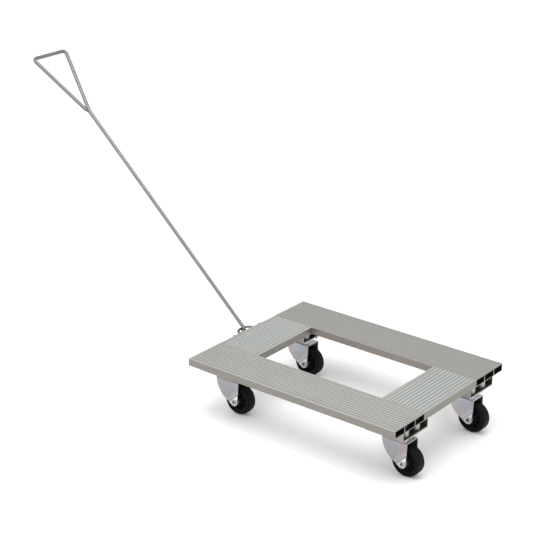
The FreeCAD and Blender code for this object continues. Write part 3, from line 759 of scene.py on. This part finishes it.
def make_axle_nut(corner, steel):
    low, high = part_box("axle_nut_" + corner)
    mesh = bmesh.new()
    start = Vector(((low.x + high.x) / 2, low.y, (low.z + high.z) / 2))
    hex_nut(mesh, start, Y_BACK, BOLT_FLATS, high.y - low.y, BOLT_RADIUS)
    piece("axle_nut_chamfered_" + corner, mesh, "swivel_" + corner, "zinc_steel", steel,
          "axle_nut_" + corner)


# ---- welds ----------------------------------------------------------------------------------
BEAD_SIZE = 1.6 * MM
BEAD_COUNT, BEAD_SECTIONS = 56, 12
BLOB_SIZE = 3.6 * MM
BLOB_COUNT, BLOB_LEVELS = 20, 12
BLOB_STRETCH = 1.6

HANDLE_ANGLE = math.radians(42.3)      # of the rod above the level, at rest
BAIL_RADIUS = 3.175 * MM
ROD_RADIUS = 4.7625 * MM
HOOK_RADIUS = BAIL_RADIUS + ROD_RADIUS
ROD_LENGTH = 704.0 * MM
WELD_PAST_ROD = 3.0 * MM
WELD_OFF_ROD = 1.1                     # in radii of the rod, towards the front


def weld_bead(mesh, centre, axis, radius):
    """A rippled fillet of weld round a bar where it meets a plate."""
    side, other = basis(axis)
    rings = []
    for i in range(BEAD_COUNT):
        angle = 2 * math.pi * i / BEAD_COUNT
        out = side * math.cos(angle) + other * math.sin(angle)
        ripple = 1.0 + 0.10 * math.sin(angle * 9) + 0.05 * math.sin(angle * 23 + 1.0)
        rings.append([centre + out * (radius + BEAD_SIZE * ripple * 0.9 * math.cos(a))
                      + axis * BEAD_SIZE * ripple * math.sin(a)
                      for a in [2 * math.pi * k / BEAD_SECTIONS for k in range(BEAD_SECTIONS)]])
    skin(mesh, rings)


def weld_blob(mesh, centre, axis):
    """A small lump of weld, longer along the axis, with a rippled surface."""
    side, other = basis(axis)
    rings = []
    for k in range(1, BLOB_LEVELS):
        angle = math.pi * k / BLOB_LEVELS
        along = -math.cos(angle) * BLOB_SIZE * BLOB_STRETCH
        around = math.sin(angle) * BLOB_SIZE * (1.0 + 0.07 * math.sin(9 * angle))
        rings.append([centre + axis * along + (side * math.cos(t) + other * math.sin(t)) * around
                      for t in [2 * math.pi * i / BLOB_COUNT for i in range(BLOB_COUNT)]])
    skin(mesh, rings, closed=False)


def make_bail_welds(steel):
    low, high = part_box("pull_bail")
    radius = half_size("pull_bail").z
    mesh = bmesh.new()
    for y in (low.y + radius, high.y - radius):
        weld_bead(mesh, Vector((high.x, y, (low.z + high.z) / 2)), X_OUT, radius)
    piece("bail_welds", mesh, "deck", "bail_steel", steel)


def make_grip_weld(steel):
    """The lump of weld that closes the grip on the rod, drawn with the handle at rest."""
    low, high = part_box("pull_bail")
    along = Vector((-math.cos(HANDLE_ANGLE), 0, math.sin(HANDLE_ANGLE)))
    square = Vector((math.sin(HANDLE_ANGLE), 0, math.cos(HANDLE_ANGLE)))
    bail = Vector((low.x + BAIL_RADIUS, (low.y + high.y) / 2, (low.z + high.z) / 2))
    apex = bail + square * HOOK_RADIUS + along * (ROD_LENGTH + WELD_PAST_ROD)
    mesh = bmesh.new()
    weld_blob(mesh, apex - Y_BACK * WELD_OFF_ROD * ROD_RADIUS, along)
    piece("grip_weld", mesh, "handle", "handle_steel", steel)


# ---- dressing the CAD nodes -----------------------------------------------------------------
PRESSED_EDGE = 0.35 * MM
BAIL_PLATE_EDGE = 0.3 * MM
MERGE_DISTANCE = 0.01 * MM
BEVEL_ANGLE = math.radians(40)


def dress(node, material, bevel=0.0):
    """Gives a CAD node its material and, where asked, rounds its sharp edges slightly."""
    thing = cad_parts[node]
    thing.data.materials.clear()
    thing.data.materials.append(material)
    if bevel:
        weld = thing.modifiers.new("weld", "WELD")
        weld.merge_threshold = MERGE_DISTANCE
        rounding = thing.modifiers.new("bevel", "BEVEL")
        rounding.width = bevel
        rounding.segments = 2
        rounding.limit_method = "ANGLE"
        rounding.angle_limit = BEVEL_ANGLE
        rounding.harden_normals = False


def dress_boards():
    dress("board_front", extruded_aluminium("board_front", "X", TOP_FRONT, GROOVE_SHADE_FRONT))
    dress("board_rear", extruded_aluminium("board_rear", "X", TOP_REAR, GROOVE_SHADE_REAR,
                                           side_shade_tones=REAR_SIDE_SHADE_TONES))
    for name in ("board_left", "board_right"):
        dress(name, extruded_aluminium(name, "Y", TOP_CROSS, GROOVE_SHADE_CROSS,
                                       CROSS_GROOVE_HALF))


def dress_casters(plate, fastener):
    tyre = rubber("tyre_rubber")
    core = plastic("wheel_plastic", CORE_COLOUR, CORE_ROUGH, CORE_GLOSS)
    bush = plastic("bush_plastic", BUSH_COLOUR, BUSH_ROUGH, BUSH_GLOSS)
    for corner in CORNERS:
        dress("riser_" + corner, riser_metal(corner))
        dress("top_plate_" + corner, plate, PRESSED_EDGE)
        axle = middle("tyre_" + corner)
        step = (axle, axle.z + CROWN_ABOVE_AXLE)
        fork = zinc("fork_zinc_" + corner, FORK_TINTS[corner], step=step)
        dress("fork_" + corner, fork, PRESSED_EDGE)
        dress("axle_bolt_" + corner, hollow_axle(corner, axle))
        dress("wheel_bush_" + corner, bush)
        for name in ("kingpin_", "swivel_balls_", "axle_sleeve_"):
            dress(name + corner, fastener)
        make_wheel(corner, tyre, core)
        make_axle_nut(corner, fastener)


def dress_pull():
    bail = rod_steel("bail_steel", BAIL_LIGHT, BAIL_DARK)
    dress("pull_bail", bail)
    make_bail_welds(bail)
    handle = rod_steel("handle_steel", HANDLE_LIGHT, HANDLE_DARK)
    dress("pull_handle", handle)
    make_grip_weld(handle)


def dress_all():
    dress_boards()
    plate = zinc("plate_zinc", PLATE_TINT)
    fastener = zinc("fastener_zinc", FASTENER_TINT, FASTENER_ROUGH)
    sleeve = zinc("sleeve_zinc", SLEEVE_TINT, SLEEVE_ROUGH)
    dress_casters(plate, fastener)
    dress("riser_sleeves", sleeve)
    dress("bail_plate", plate, BAIL_PLATE_EDGE)
    make_upright_fasteners(fastener)
    make_bail_fasteners(fastener, plate)
    make_washers(fastener)
    dress_pull()


# ---- stage ----------------------------------------------------------------------------------
AZIMUTH = 38.893
ELEVATION = 21.952
DISTANCE = 4.5056
LENS = 109.46
SENSOR_WIDTH = 36.0
TARGET_FROM_DECK = Vector((-0.5336, 0.3574, 0.0))
FLOOR_HALF = 12.0
WORLD_STRENGTH = 1.04
# name, azimuth and elevation in degrees, distance and size in metres, power in watts
LIGHTS = (("overhead", 20, 80, 3.0, 2.6, 45.0),
          ("key", -40, 40, 3.2, 1.6, 14.0),
          ("fill", 30, 6, 3.2, 1.8, 12.0))


def aim(thing, target, azimuth, elevation, distance):
    """Puts the thing at a distance from the target, in that direction, and turns it to look."""
    a, e = math.radians(azimuth), math.radians(elevation)
    away = Vector((math.sin(a) * math.cos(e), -math.cos(a) * math.cos(e), math.sin(e)))
    thing.location = target + away * distance
    thing.rotation_mode = "QUATERNION"
    thing.rotation_quaternion = (-away).to_track_quat("-Z", "Y")


def make_camera():
    data = bpy.data.cameras.new("camera")
    data.lens = LENS
    data.sensor_width = SENSOR_WIDTH
    camera = add_object("camera", data)
    target = Vector((DECK_MIDDLE.x, DECK_MIDDLE.y, DECK_TOP)) + TARGET_FROM_DECK
    aim(camera, target, AZIMUTH, ELEVATION, DISTANCE)
    bpy.context.scene.camera = camera


def make_floor():
    mesh = bpy.data.meshes.new("floor")
    shape = bmesh.new()
    bmesh.ops.create_grid(shape, x_segments=1, y_segments=1, size=FLOOR_HALF)
    shape.to_mesh(mesh)
    shape.free()
    floor = add_object("floor", mesh)
    mesh.materials.append(floor_paint())


def make_light():
    world = bpy.data.worlds.new("studio")
    world.use_nodes = True
    background = world.node_tree.nodes["Background"]
    background.inputs["Color"].default_value = (1.0, 1.0, 1.0, 1)
    background.inputs["Strength"].default_value = WORLD_STRENGTH
    bpy.context.scene.world = world
    for name, azimuth, elevation, distance, size, power in LIGHTS:
        data = bpy.data.lights.new(name, "AREA")
        data.shape = "DISK"
        data.size = size
        data.energy = power
        aim(add_object(name, data), DECK_MIDDLE, azimuth, elevation, distance)
    bpy.context.scene.view_settings.view_transform = "Standard"


dress_all()
make_camera()
make_floor()
make_light()
